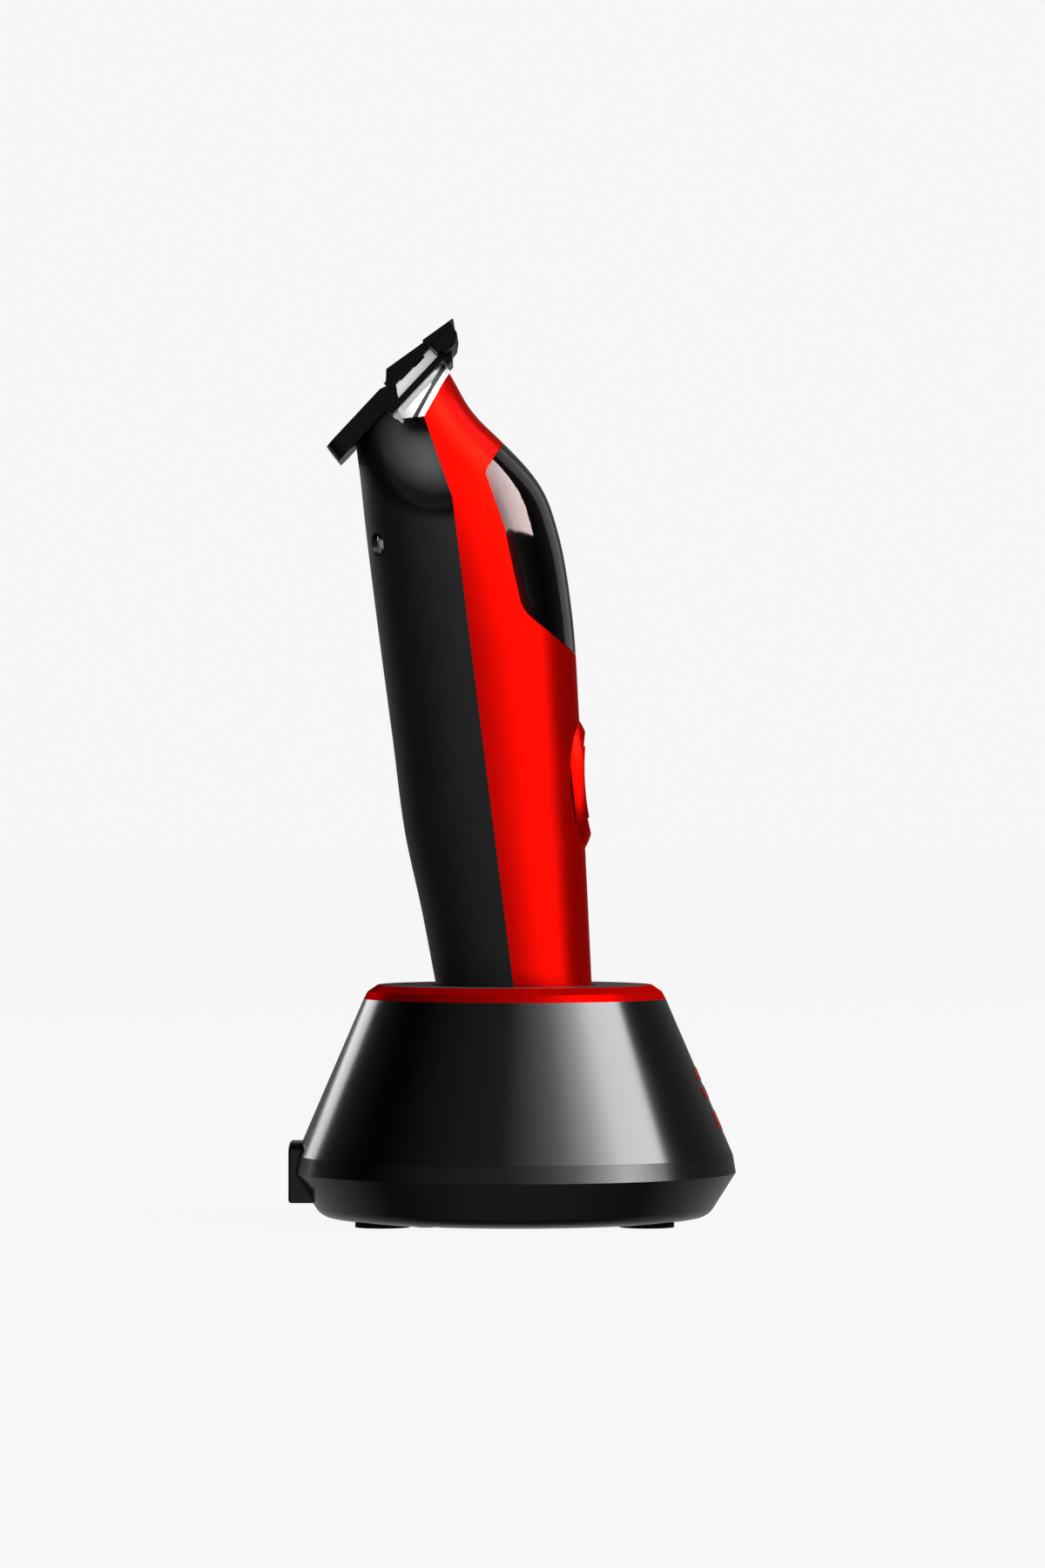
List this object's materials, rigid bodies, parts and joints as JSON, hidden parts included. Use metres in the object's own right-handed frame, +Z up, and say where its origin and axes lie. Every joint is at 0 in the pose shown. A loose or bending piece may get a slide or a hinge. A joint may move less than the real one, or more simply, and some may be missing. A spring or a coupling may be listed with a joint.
{
  "type": "hair clipper",
  "caption": "Cordless T-blade hair clipper with a red and black two-shell body, window and thumb button, standing in a round charging dock.",
  "frame": {"origin": "on the floor under the dock's axis of rotation, in the plane of the feet", "axes": "+Z up, +X to the dock's front, which is also the side of the handset's button and window, +Y across"},
  "size_m": [0.0923, 0.0914, 0.1854],
  "materials": {
    "satin_black": "fine satin moulding",
    "red_lacquer": "glossy red lacquer",
    "smoked_window": "smoked, high gloss",
    "red_button": "satin-gloss red",
    "blade_black": "black hard coating on steel",
    "bright_metal": "polished",
    "grey_rubber": "matte seal",
    "white_plastic": "low-friction acetal",
    "steel": "machined or plated",
    "brass_contact": "gold-coloured contact",
    "circuit_board": "solder mask",
    "cell_wrap": "shrink film",
    "nickel": "nickel strip",
    "inner_plastic": "plain moulding",
    "dock_gloss": "piano black",
    "dock_satin": "satin moulding",
    "dock_plate": "dark grey, fine grain",
    "dock_red": "anodised red look",
    "indicator_red": "translucent light guide",
    "foot_rubber": "matte"
  },
  "bodies": {
    "dock": {"dock_base": "dock_satin", "dock_body": "dock_gloss", "dock_ring": "dock_red", "dock_top_plate": "dock_plate", "cradle_cup": "inner_plastic", "dock_feet": "foot_rubber", "dock_screws": "steel", "charge_indicator": "indicator_red", "contact_block": "inner_plastic", "inlet_housing": "dock_satin", "inlet_jack": "inner_plastic", "dock_board": "circuit_board", "ballast_plate": "steel"},
    "handset": {"rear_shell": "satin_black", "front_shell": "red_lacquer", "window_cover": "smoked_window", "bottom_cap": "satin_black", "charge_pads": "brass_contact", "neck_trim": "bright_metal", "neck_gasket": "grey_rubber", "head_block": "bright_metal", "blade_carrier": "blade_black", "blade_screws": "steel", "blade_rivets": "steel", "fixed_blade": "blade_black", "tension_plate": "blade_black", "motor_can": "steel", "motor_endcap": "inner_plastic", "motor_bushes": "brass_contact", "motor_cradle": "inner_plastic", "battery_cell": "cell_wrap", "cell_tabs": "nickel", "battery_holder": "inner_plastic", "control_board": "circuit_board", "board_bracket": "nickel", "board_screws": "steel", "power_switch": "inner_plastic", "shell_screws": "steel"},
    "rotor": {"motor_shaft": "steel", "motor_core": "steel", "eccentric_cam": "steel"},
    "cutter": {"moving_blade": "blade_black", "drive_block": "bright_metal"},
    "button": {"power_button": "red_button", "switch_plunger": "white_plastic"},
    "pin_left": {"contact_pin_left": "brass_contact"},
    "pin_right": {"contact_pin_right": "brass_contact"}
  },
  "joints": [
    {"name": "handset_lift", "type": "slide", "parent": "dock", "child": "handset", "axis": [-0.1045, 0, 0.9945], "range_m": [0, 0.06]},
    {"name": "motor_spin", "type": "hinge", "parent": "handset", "child": "rotor", "pos_m": [-0.01256, 0, 0.11295], "axis": [-0.1045, 0, 0.9945], "continuous": true},
    {"name": "cutter_slide", "type": "slide", "parent": "handset", "child": "cutter", "axis": [0, 1, 0], "range_m": [-0.0013, 0.0013]},
    {"name": "button_press", "type": "slide", "parent": "handset", "child": "button", "axis": [-0.9945, 0, -0.1045], "range_m": [0, 0.0005], "stiffness_N_per_m": 1500, "springref_m": -0.0005},
    {"name": "pin_left_press", "type": "slide", "parent": "dock", "child": "pin_left", "axis": [-0.1045, 0, 0.9945], "range_m": [-0.0008, 0], "stiffness_N_per_m": 800, "springref_m": 0.0003},
    {"name": "pin_right_press", "type": "slide", "parent": "dock", "child": "pin_right", "axis": [-0.1045, 0, 0.9945], "range_m": [-0.0008, 0], "stiffness_N_per_m": 800, "springref_m": 0.0003}
  ]
}
